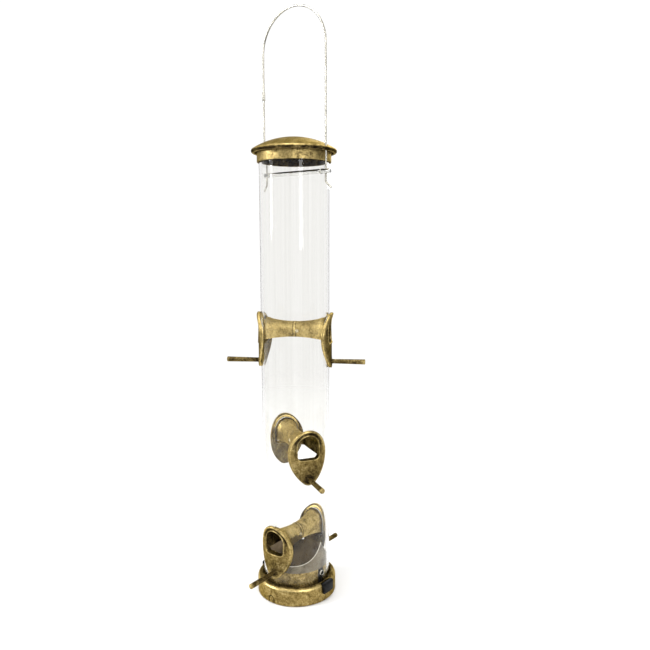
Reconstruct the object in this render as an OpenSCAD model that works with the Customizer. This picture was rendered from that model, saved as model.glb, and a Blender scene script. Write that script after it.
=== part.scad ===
// Hanging tube seed feeder: a clear tube with cast fittings, a lid that slides up the wire
// bail, three through-going feeding ports with perches, and a base held by two push latches.
// The origin is the centre of the base's underside. Z is up, the bail and the two latches
// lie along X, and the lower pair of ports faces along Y.

/* [Tube] */
// Outer diameter of the clear tube
tube_d = 70; // [69.5:0.1:70.2]
// Wall thickness of the clear tube
tube_wall = 2.5; // [2.2:0.1:2.7]
// Height of the tube's lower edge
tube_bottom_z = 14; // [13.6:0.1:15]
// Height of the tube's upper edge
tube_top_z = 458; // [450:1:462]

/* [Lid] */
// Diameter over the lid's rolled rim
lid_d = 85; // [84:0.5:90]
// Height of the domed top above the tube's upper edge
lid_rise = 15.5; // [14:0.5:18]
// Wall thickness of the lid casting
lid_wall = 2.2; // [2:0.1:2.6]
// Depth of the collar that sleeves over the tube
collar_depth = 9; // [7:0.5:11]
// Wall thickness of the collar
collar_wall = 1.5; // [1.2:0.1:1.6]
// Radius of the rolled rim
rim_r = 2.2; // [1.8:0.1:2.4]
// Diameter of the two brim holes that the bail passes through
brim_hole_d = 3.8; // [3.6:0.1:4]

/* [Bail] */
// Diameter of the stainless bail wire
wire_d = 2; // [1.8:0.1:2.2]
// Distance from the tube's axis to each straight leg
leg_x = 39.3; // [39:0.1:39.6]
// Height at which the legs turn into the top arch
arch_z = 556; // [550:1:570]
// Length of each leg below the cross rod, before its kicked-out end
tail_len = 10; // [6:0.5:12]
// Length of the kicked-out wire end
kick_len = 8.5; // [6:0.5:10]
// Angle of the kicked-out wire end from straight down
kick_angle = 48; // [30:1:60]
// Diameter of the sleeve that joins the wire in one leg
splice_d = 3.1; // [2.8:0.1:3.2]
// Length of the sleeve that joins the wire in one leg
splice_len = 8.5; // [6:0.5:12]
// Height of the middle of the splice sleeve
splice_z = 517; // [510:1:540]

/* [Cross rod] */
// Diameter of the polished cross rod
rod_d = 4.5; // [4:0.1:5]
// Length of the cross rod
rod_len = 89.6; // [88:0.2:92]
// Height of the cross rod's axis
rod_z = 438.8; // [430:0.1:442]

/* [Ports] */
// Height of the upper flange's top edge
upper_port_z = 300.5; // [290:0.5:310]
// Height of the middle flange's top edge
middle_port_z = 185; // [175:1:195]
// Height of the lower flange's top edge
lower_port_z = 82; // [82:1:90]
// Height of each flange
flange_h = 57; // [56:0.5:60]
// Width of each flange across its widest part
flange_w = 40; // [39:0.5:42]
// Thickness of the flange plate
flange_wall = 2.6; // [2.4:0.1:3]
// How far the flange's top edge flares away from the tube
flare = 1.1; // [0.8:0.1:3]
// Half width of the opening
opening_r = 11.5; // [11:0.1:12]
// Height of the opening
opening_h = 24.6; // [24:0.1:26]
// Half width of the hood at the middle of the tube
waist_r = 8; // [7.5:0.1:9]
// Wall thickness of the hood
hood_wall = 1.5; // [1.3:0.1:1.8]
// Radius of the pin that joins the two halves of a hood
hood_pin_r = 1.2; // [1:0.1:1.4]

/* [Perches] */
// Distance from the tube's axis to a perch's tip
perch_reach = 72.2; // [68:0.1:76]
// Diameter of a perch at the flange
perch_root_d = 4.5; // [4.4:0.1:5]
// Diameter of a perch at its tip
perch_tip_d = 5.3; // [4.8:0.1:5.6]
// Height of a perch's axis above its flange's bottom edge
perch_rise = 6.5; // [6:0.1:8]

/* [Base] */
// Outer diameter of the base
base_d = 83.5; // [83:0.5:88]
// Height of the base's rounded rim
base_h = 19; // [18.5:0.5:20]
// Radius of the base's rounded shoulder
shoulder_r = 4.6; // [4:0.1:4.7]
// Width of the dark gap between the tube and the base's rim
groove_gap = 1.7; // [1.4:0.1:1.8]
// Height of the inner collar that the tube slips over
spigot_top_z = 31.5; // [30.5:0.5:33]
// Height of the seed deflector's ridge
ridge_z = 60; // [58:0.5:60]
// Radius of the two scoops in the seed deflector
scoop_r = 32; // [30:0.5:34]
// Wall thickness of the seed deflector
deflector_wall = 1.6; // [1.4:0.1:2]

/* [Latches] */
// Width of each push button
button_w = 15.4; // [14:0.1:15.6]
// Height of each push button's top face
button_top_z = 19.6; // [18.6:0.1:19.8]
// How far each button stands out of the base
button_proud = 2.2; // [1.5:0.1:2.6]
// How far each button can be pressed
press_travel = 2.4; // [2.2:0.1:2.5]
// Height of the locking pins and of their holes in the tube
lock_z = 26.6; // [26:0.1:27.5]
// Diameter of each locking pin
lock_pin_d = 4.4; // [4:0.1:4.6]

/* [Hidden] */

$fn = 96;
eps = 0.01;
overlap = 0.1;
through = 60;
brass_colour = [0.55, 0.47, 0.27];
steel_colour = [0.75, 0.75, 0.73];
black_colour = [0.06, 0.06, 0.065];

// Tube
tube_r = tube_d / 2;
bore_r = tube_r - tube_wall;

// Port angles: each pair is turned 60 degrees from the one below
upper_angle = 30;
middle_angle = -30;
lower_angle = -90;

// Flange plate: an egg-shaped outline on a shell that hugs the tube
seat_gap = 0.15;
seat_r = tube_r + seat_gap;
plate_r = seat_r + flange_wall;
widest_z = -0.43 * flange_h;
top_arc_r = 0.8 * flange_w / 2;
bottom_arc_r = 0.45 * flange_w / 2;
flare_z = -14;
rim_w = 2.2;
rim_proud = 0.8;
bead_w = 1.3;

// Hood: an arch that is waisted at the middle of the tube
opening_top_z = -5.9;
arch_axis_z = opening_top_z - opening_r;
sleeve_r = opening_r + hood_wall;
sleeve_in_x = 31;
hood_len = bore_r + 1;
hood_rise = sleeve_r - waist_r;
hood_side_r = (hood_len * hood_len / hood_rise + hood_rise) / 2;
hood_drop = 14;
hood_edge_z = -7.2;
hood_edge_r = 164;
opening_corner_r = 4;
hole_clearance = 0.5;
tongue_len = 6;
tongue_wall = 1.2;
tongue_gap = 0.1;
hood_pin_x = 3;
hood_pin_z = arch_axis_z - hood_pin_r;

// Clearances of the rod in the tube and of the wire in the rod, on the diameter
rod_gap = 0.4;
wire_gap = 0.3;

// Perch
perch_z = -flange_h + perch_rise;
perch_spigot_r = 2.15;
pin_gap = 0.05;

// Lid: heights above the tube's upper edge
collar_gap = 0.4;
collar_in_r = tube_r + collar_gap;
rim_x = lid_d / 2 - rim_r;
rim_z = 1.9;
dome_run = lid_rise - rim_r - rim_z;
dome_r = (rim_x * rim_x + dome_run * dome_run) / (2 * dome_run) + rim_r;
dome_z = lid_rise - dome_r;

// Base
skirt_r = base_d / 2;
skirt_wall = 3.6;
groove_r = tube_r + groove_gap;
groove_floor_z = 12;
deck_z = 5.5;
deck_top_z = 8;
spigot_r = bore_r - 0.5;
spigot_in_r = spigot_r - 2.5;
foot_round = 1;
lip_wall = 1;
arch_mark_r = 3.7;
arch_mark_z = 4.6;
arch_mark_w = 1;
arch_mark_depth = 1;

// Seed deflector
deflector_r = bore_r - 0.4;
scoop_y = 30;
scoop_z = ridge_z + sqrt(scoop_r * scoop_r - scoop_y * scoop_y);
deflector_bottom_z = spigot_top_z + 0.1;
saddle_half_w = 11;
saddle_z = ridge_z - 6;
boss_y = 20;
boss_r = 3.5;
boss_bottom_z = deck_top_z;
screw_r = 1.5;
screw_gap = 0.2;
screw_head_r = 2.9;
screw_head_h = 2;
screw_len = 12;

// Latches
button_r = skirt_r + button_proud;
button_bottom_z = 8.8;
slot_gap = 0.3;
button_shelf_z = 16.4;
shelf_lap = 0.6;
press_room = 1;
button_in_x = groove_r + lip_wall + shelf_lap;
button_step_x = groove_r + lip_wall + press_travel + 2 * overlap;
pocket_in_x = button_in_x - press_travel - press_room;
bridge_bottom_z = deck_top_z + 2 * slot_gap;
bridge_top_z = 12.6;
leg_w = 8;
leg_in_x = spigot_in_r - 2;
leg_out_x = leg_in_x + 3;
leg_top_z = 30.4;
lock_tip_x = tube_r - 0.4;
lock_hole_d = lock_pin_d + 2 * slot_gap;
lock_tail_x = leg_in_x + shelf_lap;
peg_r = 1.5;
peg_len = 2;
spring_z = 20;
pillar_x = 15;
pillar_wall = 3;

// Coil spring swept as a tube along a helix
spring_r = 2.3;
spring_wire_r = 0.4;
spring_turns = 6;
turn_steps = 20;
wire_sides = 8;

// Half width of a waisted bar, drawn from its waist (y = 0) to its end (y = len)
module waist_profile(r, side_r, len) {
    end_r = r + side_r - sqrt(side_r * side_r - len * len);
    difference() {
        square([end_r, len]);
        translate([r + side_r, 0]) circle(side_r, $fn = 360);
    }
}

// Solid arch: round above, with straight sides below, waisted at x = 0
module waisted_arch(r, side_r, len) {
    rotate([0, 90, 0]) rotate_extrude() waist_profile(r, side_r, len);
    for (side = [0, 1]) mirror([0, side, 0]) translate([0, 0, -hood_drop])
        linear_extrude(hood_drop) rotate(-90) waist_profile(r, side_r, len);
}

// Space below the curved lower edge of a hood
module below_hood() {
    translate([0, 0, hood_edge_z - hood_edge_r]) rotate([90, 0, 0])
        cylinder(h = through, r = hood_edge_r, center = true, $fn = 360);
}

// Points along an arc, both ends included
function arc(centre, r, from, to, steps = 8) =
    [for (i = [0:steps]) centre + r * [cos(from + (to - from) * i / steps),
        sin(from + (to - from) * i / steps)]];

// Right half of one end of an egg: half width w at y = 0, and a round tip of radius r at y = d
function egg_end(d, r, w) =
    let (side_r = (d * d / (w - r) + r + w) / 2, join = asin(d / (side_r - r)))
    concat(arc([w - side_r, 0], side_r, 0, join), tail(arc([0, d], r, join, 90)));

function tail(points) = [for (i = [1:len(points) - 1]) points[i]];
function mirror_points(points, x, y) = [for (p = points) [x * p[0], y * p[1]]];
function backwards(points) = [for (i = [len(points) - 1:-1:0]) points[i]];

// Flange outline, with its top edge at y = 0 and every arc drawn in by inset
module egg_outline(inset = 0) {
    w = flange_w / 2 - inset;
    top = egg_end(-top_arc_r - widest_z, top_arc_r - inset, w);
    bottom = egg_end(flange_h + widest_z - bottom_arc_r, bottom_arc_r - inset, w);
    right = concat(backwards(mirror_points(bottom, 1, -1)), tail(top));
    left = backwards(mirror_points([for (i = [1:len(right) - 2]) right[i]], -1, 1));
    translate([0, widest_z]) polygon(concat(right, left));
}

// Opening outline: round above and square with round corners below
module opening_outline(grow = 0) {
    w = opening_r + grow;
    corner = opening_corner_r + grow;
    sill_z = arch_axis_z + opening_r - opening_h - grow;
    translate([0, arch_axis_z]) circle(w);
    translate([-w, sill_z + corner]) square([2 * w, arch_axis_z - sill_z - corner]);
    translate([corner - w, sill_z]) square([2 * (w - corner), corner + eps]);
    for (side = [-1, 1]) translate([side * (w - corner), sill_z + corner]) circle(corner);
}

// Extrudes a shape drawn across a port along the port's own axis
module along_port(from_x, to_x) {
    translate([from_x, 0, 0]) rotate([90, 0, 90]) linear_extrude(to_x - from_x) children();
}

// Shell that hugs the tube and flares away from it at the top
module flange_shell(extra = 0) {
    low = -flange_h - 1;
    outer = plate_r + extra;
    rotate_extrude($fn = 180) polygon([
        [seat_r, low], [outer, low], [outer, flare_z], [outer + flare, 0],
        [seat_r + flare, 0], [seat_r, flare_z]]);
}

// One cast half of a port, with its axis along +X and its flange's top edge at z = 0
module port_half(has_tongue) {
    difference() {
        union() {
            intersection() {
                flange_shell();
                along_port(0, through) egg_outline();
            }
            intersection() {
                flange_shell(rim_proud);
                along_port(0, through) difference() {
                    egg_outline();
                    egg_outline(rim_w);
                }
            }
            intersection() {
                flange_shell(rim_proud);
                along_port(0, through) opening_outline(bead_w);
            }
            along_port(sleeve_in_x, seat_r + hood_wall / 2) opening_outline(hood_wall);
            translate([0, 0, arch_axis_z]) difference() {
                waisted_arch(waist_r, hood_side_r, hood_len);
                below_hood();
            }
        }
        translate([0, 0, arch_axis_z])
            waisted_arch(waist_r - hood_wall, hood_side_r + hood_wall, hood_len + eps);
        along_port(sleeve_in_x - eps, through) opening_outline();
        translate([seat_r - 1, 0, perch_z]) rotate([0, 90, 0])
            cylinder(h = 2 * flange_wall, r = perch_spigot_r + pin_gap);
        if (!has_tongue) hood_pin_hole(hood_pin_x);
    }
    if (has_tongue) tongue();
}

// Bore for the pin that joins two halves
module hood_pin_hole(x) {
    translate([x, 0, hood_pin_z]) rotate([90, 0, 0])
        cylinder(h = through, r = hood_pin_r + pin_gap, center = true);
}

// Inner sleeve that bridges the seam and takes the pin
module tongue() {
    root_len = 3;
    fused_r = waist_r - hood_wall + overlap;
    loose_r = waist_r - hood_wall - tongue_gap;
    translate([0, 0, arch_axis_z]) difference() {
        union() {
            tongue_arch(fused_r, 0, root_len);
            tongue_arch(loose_r, -tongue_len, eps);
        }
        tongue_arch(loose_r - tongue_wall, -tongue_len - 1, root_len + 1);
        below_hood();
        translate([0, 0, -arch_axis_z]) hood_pin_hole(-hood_pin_x);
    }
}

module tongue_arch(r, from_x, to_x) {
    translate([from_x, 0, 0]) rotate([0, 90, 0]) cylinder(h = to_x - from_x, r = r);
    translate([from_x, -r, -hood_drop]) cube([to_x - from_x, 2 * r, hood_drop]);
}

// Puts a port's own frame at its height and angle
module at_port(z, angle) {
    translate([0, 0, z]) rotate([0, 0, angle]) children();
}

module cast_half(z, angle, has_tongue = false) {
    color(brass_colour) at_port(z, angle) port_half(has_tongue);
}

// Straight perch, a little thicker at its tip, with a spigot in the flange
module perch(z, angle) {
    color(brass_colour) at_port(z, angle) translate([0, 0, perch_z]) rotate([0, 90, 0]) {
        translate([0, 0, seat_r + overlap]) cylinder(h = flange_wall, r = perch_spigot_r);
        translate([0, 0, plate_r]) cylinder(h = perch_reach - plate_r,
            r1 = perch_root_d / 2, r2 = perch_tip_d / 2);
    }
}

// One short rivet in each side of a hood, through the wall and the tongue inside it
module hood_pin(z, angle) {
    head_y = waist_r + overlap;
    head_h = 0.8;
    head_r = hood_pin_r + 0.7;
    tail_y = waist_r - hood_wall - tongue_gap - tongue_wall;
    at_port(z, angle) for (side = [0, 1]) mirror([0, side, 0])
        translate([hood_pin_x, 0, hood_pin_z]) rotate([90, 0, 0]) {
            translate([0, 0, tail_y]) cylinder(h = head_y - tail_y, r = hood_pin_r);
            translate([0, 0, head_y - eps])
                cylinder(h = head_h, r1 = head_r, r2 = head_r - head_h / 2);
        }
}

module hood_pins() {
    color(steel_colour) {
        hood_pin(upper_port_z, upper_angle);
        hood_pin(middle_port_z, middle_angle);
        hood_pin(lower_port_z, lower_angle);
    }
}

module port_holes(z, angle) {
    at_port(z, angle) along_port(-through, through) opening_outline(hood_wall + hole_clearance);
}

module tube() {
    color([0.85, 0.9, 0.9, 0.35]) difference() {
        translate([0, 0, tube_bottom_z]) cylinder(h = tube_top_z - tube_bottom_z, r = tube_r);
        cylinder(h = tube_top_z + 1, r = bore_r);
        port_holes(upper_port_z, upper_angle);
        port_holes(middle_port_z, middle_angle);
        port_holes(lower_port_z, lower_angle);
        translate([0, 0, rod_z]) rotate([0, 90, 0])
            cylinder(h = 2 * tube_d, d = rod_d + rod_gap, center = true);
        translate([0, 0, lock_z]) rotate([0, 90, 0])
            cylinder(h = 2 * tube_d, d = lock_hole_d, center = true);
    }
}

// Lid section above the tube's upper edge: dome and rolled rim, with a collar below them
module lid_section() {
    difference() {
        union() {
            intersection() {
                translate([0, dome_z]) circle(dome_r, $fn = 360);
                translate([0, rim_z]) square([rim_x, lid_rise]);
            }
            translate([rim_x, rim_z]) circle(rim_r);
            translate([collar_in_r, -collar_depth]) square([collar_wall, collar_depth + rim_z + 1]);
        }
        intersection() {
            translate([0, dome_z]) circle(dome_r - lid_wall, $fn = 360);
            translate([-eps, 0]) square([bore_r, lid_rise]);
        }
        translate([-1, -collar_depth - 1]) square([collar_in_r + 1, collar_depth + 1]);
    }
    translate([bore_r - eps, 0]) square([collar_in_r - bore_r + 2 * eps, rim_z + eps]);
}

module lid() {
    color(brass_colour) translate([0, 0, tube_top_z]) difference() {
        rotate_extrude($fn = 180) intersection() {
            lid_section();
            translate([0, -through / 2]) square(through);
        }
        for (side = [-1, 1]) translate([side * leg_x, 0, 0])
            cylinder(h = through, d = brim_hole_d, center = true);
    }
}

// Cross rod with rounded ends, drilled across for the two wire legs
module cross_rod() {
    end_round = 1.2;
    color(steel_colour) translate([0, 0, rod_z]) difference() {
        rotate([0, 90, 0]) rotate_extrude() for (side = [0, 1]) mirror([0, side]) {
            square([rod_d / 2, rod_len / 2 - end_round]);
            square([rod_d / 2 - end_round, rod_len / 2]);
            intersection() {
                translate([rod_d / 2 - end_round, rod_len / 2 - end_round]) circle(end_round);
                square([rod_d / 2, rod_len / 2]);
            }
        }
        for (side = [-1, 1]) translate([side * leg_x, 0, 0])
            cylinder(h = 2 * rod_d, d = wire_d + wire_gap, center = true);
    }
}

module bail() {
    tail_z = rod_z - tail_len;
    color(steel_colour) {
        translate([0, 0, arch_z]) rotate([90, 0, 0]) rotate_extrude(angle = 180)
            translate([leg_x, 0]) circle(d = wire_d, $fn = 32);
        for (side = [0, 1]) mirror([side, 0, 0]) translate([leg_x, 0, tail_z]) {
            cylinder(h = arch_z - tail_z, d = wire_d, $fn = 32);
            sphere(d = wire_d, $fn = 32);
            rotate([0, 180 - kick_angle, 0]) cylinder(h = kick_len, d = wire_d, $fn = 32);
        }
    }
}

module bail_splice() {
    color(steel_colour) translate([-leg_x, 0, splice_z]) difference() {
        cylinder(h = splice_len, d = splice_d, center = true);
        cylinder(h = splice_len + 1, d = wire_d + pin_gap, center = true);
    }
}

// Base section: skirt with a rounded shoulder, deck, tube groove and inner collar
module base_section() {
    skirt_in_r = skirt_r - skirt_wall;
    difference() {
        union() {
            translate([skirt_in_r, foot_round])
                square([skirt_wall, base_h - shoulder_r - foot_round]);
            translate([skirt_in_r, 0]) square([skirt_wall - foot_round, foot_round + eps]);
            translate([skirt_r - foot_round, foot_round]) circle(foot_round);
            translate([skirt_r - shoulder_r, base_h - shoulder_r]) circle(shoulder_r);
            translate([groove_r, deck_z]) square([skirt_r - shoulder_r - groove_r, base_h - deck_z]);
            translate([0, deck_z]) square([skirt_r - shoulder_r, deck_top_z - deck_z]);
            translate([spigot_in_r, deck_z])
                square([groove_r - spigot_in_r + eps, groove_floor_z - deck_z]);
            translate([spigot_in_r, deck_z]) square([spigot_r - spigot_in_r, spigot_top_z - deck_z]);
        }
        translate([spigot_r, groove_floor_z]) square([groove_r - spigot_r, base_h]);
    }
}

// Pocket in the base for one latch, which drops in from above
module latch_pocket() {
    half_w = button_w / 2 + slot_gap;
    leg_half_w = leg_w / 2 + slot_gap;
    translate([groove_r + lip_wall, -half_w, button_bottom_z - slot_gap])
        cube([through, 2 * half_w, base_h]);
    translate([pocket_in_x, -half_w, button_bottom_z - slot_gap])
        cube([through, 2 * half_w, button_shelf_z - button_bottom_z + 2 * slot_gap]);
    translate([leg_in_x - press_travel - slot_gap, -leg_half_w, bridge_bottom_z - slot_gap])
        cube([groove_r - leg_in_x + press_travel + slot_gap, 2 * leg_half_w, spigot_top_z]);
}

// Round-topped shape that stands on the skirt's lower edge
module arch_shape(r) {
    translate([0, arch_mark_z]) circle(r);
    translate([-r, -1]) square([2 * r, arch_mark_z + 1]);
}

// Groove pressed into the front of the skirt
module arch_mark() {
    intersection() {
        rotate([90, 0, 0]) linear_extrude(skirt_r + 1) difference() {
            arch_shape(arch_mark_r);
            arch_shape(arch_mark_r - arch_mark_w);
        }
        difference() {
            translate([0, 0, -1]) cylinder(h = base_h, r = skirt_r + 1);
            translate([0, 0, -2]) cylinder(h = base_h + 2, r = skirt_r - arch_mark_depth);
        }
    }
}

module base_casting() {
    color(brass_colour) {
        difference() {
            rotate_extrude($fn = 180) base_section();
            for (side = [0, 1]) mirror([side, 0, 0]) latch_pocket();
            arch_mark();
            for (side = [-1, 1]) translate([0, side * boss_y, 0])
                cylinder(h = 2 * deck_top_z, r = screw_r + screw_gap);
        }
        for (side = [0, 1]) mirror([side, 0, 0]) translate([pillar_x, 0, 0]) {
            translate([-pillar_wall, -leg_w / 2, deck_z]) cube([pillar_wall, leg_w, spring_z]);
            translate([-eps, 0, spring_z]) rotate([0, 90, 0]) cylinder(h = peg_len, r = peg_r);
        }
    }
}

// Two cylinders that scoop the deflector out towards the lower ports
module scoops(r) {
    for (side = [-1, 1]) translate([0, side * scoop_y, scoop_z]) rotate([0, 90, 0])
        cylinder(h = 2 * tube_d, r = r, center = true, $fn = 180);
}

module seed_deflector() {
    color([0.32, 0.3, 0.27, 0.6]) difference() {
        union() {
            difference() {
                translate([0, 0, deflector_bottom_z])
                    cylinder(h = ridge_z - deflector_bottom_z, r = deflector_r);
                difference() {
                    translate([0, 0, deflector_bottom_z - 1])
                        cylinder(h = ridge_z, r = deflector_r - deflector_wall);
                    scoops(scoop_r + deflector_wall);
                    saddle(deflector_wall);
                }
            }
            for (side = [-1, 1]) translate([0, side * boss_y, boss_bottom_z])
                cylinder(h = saddle_z - boss_bottom_z, r = boss_r);
        }
        scoops(scoop_r);
        saddle(0);
        for (side = [-1, 1]) translate([0, side * boss_y, boss_bottom_z - 1])
            cylinder(h = screw_len, r = screw_r + pin_gap);
    }
}

// Notch across the ridge, which leaves room for the lowest hood
module saddle(grow) {
    translate([-saddle_half_w - grow, -tube_r, saddle_z - grow])
        cube([2 * (saddle_half_w + grow), tube_d, ridge_z]);
}

module deflector_screws() {
    color(steel_colour) for (side = [-1, 1]) translate([0, side * boss_y, deck_z]) {
        translate([0, 0, -screw_head_h]) cylinder(h = screw_head_h, r = screw_head_r);
        translate([0, 0, -eps]) cylinder(h = screw_len, r = screw_r);
    }
}

// Black latch: a button outside, a bridge under the tube's edge and a leg inside the tube
module latch_button(side) {
    half_w = button_w / 2;
    color(black_colour) mirror([side, 0, 0]) difference() {
        union() {
            intersection() {
                union() {
                    translate([button_in_x, -half_w, button_bottom_z])
                        cube([through, button_w, button_shelf_z - button_bottom_z]);
                    translate([button_step_x, -half_w, button_bottom_z])
                        cube([through, button_w, button_top_z - button_bottom_z]);
                }
                button_outside();
            }
            translate([leg_in_x, -leg_w / 2, bridge_bottom_z])
                cube([button_in_x - leg_in_x + 1, leg_w, bridge_top_z - bridge_bottom_z]);
            translate([leg_in_x, -leg_w / 2, bridge_bottom_z])
                cube([leg_out_x - leg_in_x, leg_w, leg_top_z - bridge_bottom_z]);
            translate([leg_in_x - peg_len, 0, spring_z]) rotate([0, 90, 0])
                cylinder(h = peg_len + eps, r = peg_r);
        }
        translate([lock_tail_x - pin_gap, 0, lock_z]) rotate([0, 90, 0])
            cylinder(h = through, d = lock_pin_d + 2 * pin_gap);
    }
}

// Rounded outside of a button
module button_outside() {
    edge = 2.5;
    rotate_extrude($fn = 180) {
        square([button_r, button_top_z - edge]);
        square([button_r - edge, button_top_z]);
        translate([button_r - edge, button_top_z - edge]) circle(edge);
    }
}

module lock_pin(side) {
    color(black_colour) mirror([side, 0, 0]) translate([lock_tail_x, 0, lock_z]) rotate([0, 90, 0])
        cylinder(h = lock_tip_x - lock_tail_x, d = lock_pin_d);
}

// Rings of the spring's wire, and the skin between them
function coil_point(i, j, len) =
    let (turn = 360 * i / turn_steps,
        side = 360 * j / wire_sides,
        r = spring_r + spring_wire_r * cos(side),
        rise = (len - 2 * spring_wire_r) * i / (spring_turns * turn_steps))
    [r * cos(turn), r * sin(turn), rise + spring_wire_r + spring_wire_r * sin(side)];

module coil_spring(len) {
    rings = spring_turns * turn_steps;
    points = [for (i = [0:rings], j = [0:wire_sides - 1]) coil_point(i, j, len)];
    skin = [for (i = [0:rings - 1], j = [0:wire_sides - 1])
        let (a = i * wire_sides, n = (j + 1) % wire_sides)
        [a + j, a + n, a + wire_sides + n, a + wire_sides + j]];
    near_end = [for (j = [wire_sides - 1:-1:0]) j];
    far_end = [for (j = [0:wire_sides - 1]) rings * wire_sides + j];
    polyhedron(points, concat(skin, [near_end, far_end]));
}

module latch_spring(side) {
    color(steel_colour) mirror([side, 0, 0]) translate([pillar_x, 0, spring_z]) rotate([0, 90, 0])
        coil_spring(leg_in_x - pillar_x);
}

tube();
lid();
cross_rod();
bail();
bail_splice();
cast_half(upper_port_z, upper_angle);  // port_upper_right
cast_half(upper_port_z, upper_angle + 180, true);  // port_upper_left
cast_half(middle_port_z, middle_angle);  // port_middle_right
cast_half(middle_port_z, middle_angle + 180, true);  // port_middle_left
cast_half(lower_port_z, lower_angle);  // port_lower_front
cast_half(lower_port_z, lower_angle + 180, true);  // port_lower_back
perch(upper_port_z, upper_angle);  // perch_upper_right
perch(upper_port_z, upper_angle + 180);  // perch_upper_left
perch(middle_port_z, middle_angle);  // perch_middle_right
perch(middle_port_z, middle_angle + 180);  // perch_middle_left
perch(lower_port_z, lower_angle);  // perch_lower_front
perch(lower_port_z, lower_angle + 180);  // perch_lower_back
hood_pins();
base_casting();
seed_deflector();
deflector_screws();
latch_button(0);  // latch_button_right
latch_button(1);  // latch_button_left
lock_pin(0);  // lock_pin_right
lock_pin(1);  // lock_pin_left
latch_spring(0);  // latch_spring_right
latch_spring(1);  // latch_spring_left
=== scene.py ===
"""Looks of the hanging tube feeder: cast antique-brass fittings, clear tube, wire bail."""
import math

import bmesh
import bpy
from mathutils import Matrix, Vector


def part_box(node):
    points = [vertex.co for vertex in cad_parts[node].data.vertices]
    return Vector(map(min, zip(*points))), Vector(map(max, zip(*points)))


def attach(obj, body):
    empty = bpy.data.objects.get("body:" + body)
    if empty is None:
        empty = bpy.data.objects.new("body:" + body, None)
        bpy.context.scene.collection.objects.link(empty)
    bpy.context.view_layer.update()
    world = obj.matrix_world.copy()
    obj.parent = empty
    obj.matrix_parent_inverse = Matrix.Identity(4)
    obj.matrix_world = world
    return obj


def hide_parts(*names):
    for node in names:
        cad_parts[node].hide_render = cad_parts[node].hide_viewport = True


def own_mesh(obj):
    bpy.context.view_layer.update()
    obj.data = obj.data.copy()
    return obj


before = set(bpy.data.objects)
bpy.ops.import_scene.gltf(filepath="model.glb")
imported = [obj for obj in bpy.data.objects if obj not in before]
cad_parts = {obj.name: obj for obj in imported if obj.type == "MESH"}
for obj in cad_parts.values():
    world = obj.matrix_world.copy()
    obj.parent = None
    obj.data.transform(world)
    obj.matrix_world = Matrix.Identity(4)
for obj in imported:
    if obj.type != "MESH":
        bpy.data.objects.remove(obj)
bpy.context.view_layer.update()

MM = 0.001
TAU = 2 * math.pi

# ---------------------------------------------------------------- sizes, read from the frame
tube_low, tube_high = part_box("tube")
TUBE_R = tube_high[0]
TUBE_Z0, TUBE_Z1 = tube_low[2], tube_high[2]
TUBE_WALL = 2.5 * MM
BORE_R = TUBE_R - TUBE_WALL
TUBE_EDGE_R = 0.25 * MM
lid_low, lid_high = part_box("lid")
base_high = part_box("base_casting")[1]
rod_low, rod_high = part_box("cross_rod")
bail_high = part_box("bail")[1]
lock_low, lock_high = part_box("lock_pin_right")
deflector_low, deflector_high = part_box("seed_deflector")
ROD_Z = (rod_high[2] + rod_low[2]) / 2

# Stainless bail: one wire, with straight legs and a kicked-out end below the rod
WIRE_R = 1.0 * MM
LEG_X = 39.3 * MM
TAIL_LEN = 10 * MM
KICK_LEN = 8.5 * MM
KICK = math.radians(48)

# Every half of a port: its ending, the angle of its own axis, and whether it holds the tongue
HALVES = [
    ("upper_right", 30, False), ("upper_left", 210, True),
    ("middle_right", -30, False), ("middle_left", 150, True),
    ("lower_front", -90, False), ("lower_back", 90, True),
]

# Port sizes in its own frame: x along the port, y across it, z up, 0 at the flange's top edge
SEAT_R = TUBE_R + 0.15 * MM
PLATE_R = SEAT_R + 2.6 * MM
FLANGE_H = 57 * MM
WIDEST_Z = -0.43 * FLANGE_H
HALF_W = 20 * MM
TOP_ARC_R = 16 * MM
BOTTOM_ARC_R = 9 * MM
FLARE_Z = -14 * MM
FLARE = 1.1 * MM
RIM_W = 2.9 * MM
RIM_PROUD = 0.8 * MM
LIP_PROUD = 0.75 * MM
DISH = 0.75 * MM
OPENING_R = 11.5 * MM
OPENING_H = 24.6 * MM
OPENING_CORNER_R = 4 * MM
ARCH_Z = -5.9 * MM - OPENING_R
HOOD_WALL = 1.5 * MM
WAIST_R = 8 * MM
HOOD_LEN = BORE_R + 1 * MM
HOOD_RISE = OPENING_R + HOOD_WALL - WAIST_R
HOOD_SIDE_R = (HOOD_LEN ** 2 / HOOD_RISE + HOOD_RISE) / 2
HOOD_EDGE_Z = -7.2 * MM
HOOD_EDGE_R = 164 * MM
SLEEVE_IN_X = 31 * MM
HOLE_CLEARANCE = 0.5 * MM
PERCH_Z = -FLANGE_H + 6.5 * MM
PERCH_REACH = 72.2 * MM
RIVET_X = 3 * MM
RIVET_Z = ARCH_Z - 1.2 * MM


# ---------------------------------------------------------------- mesh helpers
def new_object(name, verts, faces, material, sharp=35, marks=()):
    """A mesh object with outward normals, smooth except at edges sharper than the angle given.

    marks, if any, are each vertex's (patina and painted shade, wear and painted highlight), which the brass
    reads.
    """
    mesh = bpy.data.meshes.new(name)
    mesh.from_pydata([tuple(v) for v in verts], [], faces)
    obj = bpy.data.objects.new(name, mesh)
    bpy.context.scene.collection.objects.link(obj)
    if marks:
        store_marks(obj, marks)
    tidy_mesh(obj, sharp)
    obj.data.materials.append(material)
    return obj


def store_marks(obj, marks):
    """Stores how much patina and painted shade and how much wear and painted highlight each vertex has, at
    most 1, before doubled ones are joined.
    """
    patina_and_shade = obj.data.attributes.new("patina_and_shade", "FLOAT", "POINT")
    wear_and_highlight = obj.data.attributes.new("wear_and_highlight", "FLOAT", "POINT")
    for i, (h, w) in enumerate(marks):
        patina_and_shade.data[i].value = min(1.0, h)
        wear_and_highlight.data[i].value = min(1.0, w)


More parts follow.
